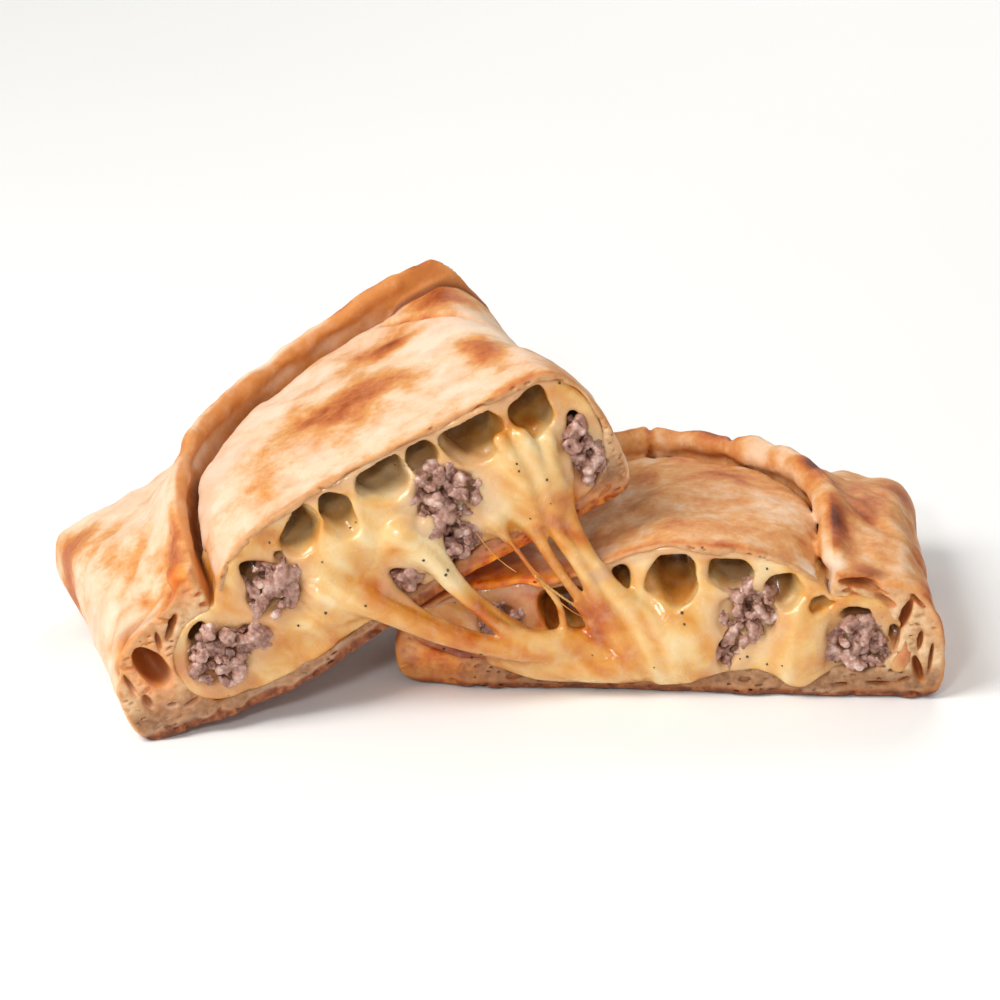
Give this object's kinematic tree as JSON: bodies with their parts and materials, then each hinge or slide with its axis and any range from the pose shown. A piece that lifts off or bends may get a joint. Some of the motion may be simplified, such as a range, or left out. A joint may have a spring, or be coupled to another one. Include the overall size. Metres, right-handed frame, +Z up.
{
  "type": "cut baked empanada",
  "caption": "Baked square folded empanada cut across its middle, one half leaning on the other, with minced meat and melted cheese stretched between them.",
  "frame": {"origin": "middle of the bounding box, on the surface the empanada lies on", "axes": "+Z up, +X along the cut from the leaning half to the flat half, +Y from the cut faces to the backs of the halves"},
  "size_m": [0.2077, 0.106, 0.0798],
  "materials": {
    "baked_dough": "matte baked dough, pale gold with brown blisters",
    "melted_cheese": "glossy melted cheese",
    "minced_meat": "moist cooked mince"
  },
  "bodies": {
    "root": {"leaning_crust": "baked_dough", "flat_crust": "baked_dough", "melted_cheese": "melted_cheese", "leaning_meat_1": "minced_meat", "leaning_meat_2": "minced_meat", "leaning_meat_3": "minced_meat", "leaning_meat_4": "minced_meat", "leaning_meat_5": "minced_meat", "flat_meat_1": "minced_meat", "flat_meat_2": "minced_meat", "flat_meat_3": "minced_meat"}
  },
  "joints": []
}
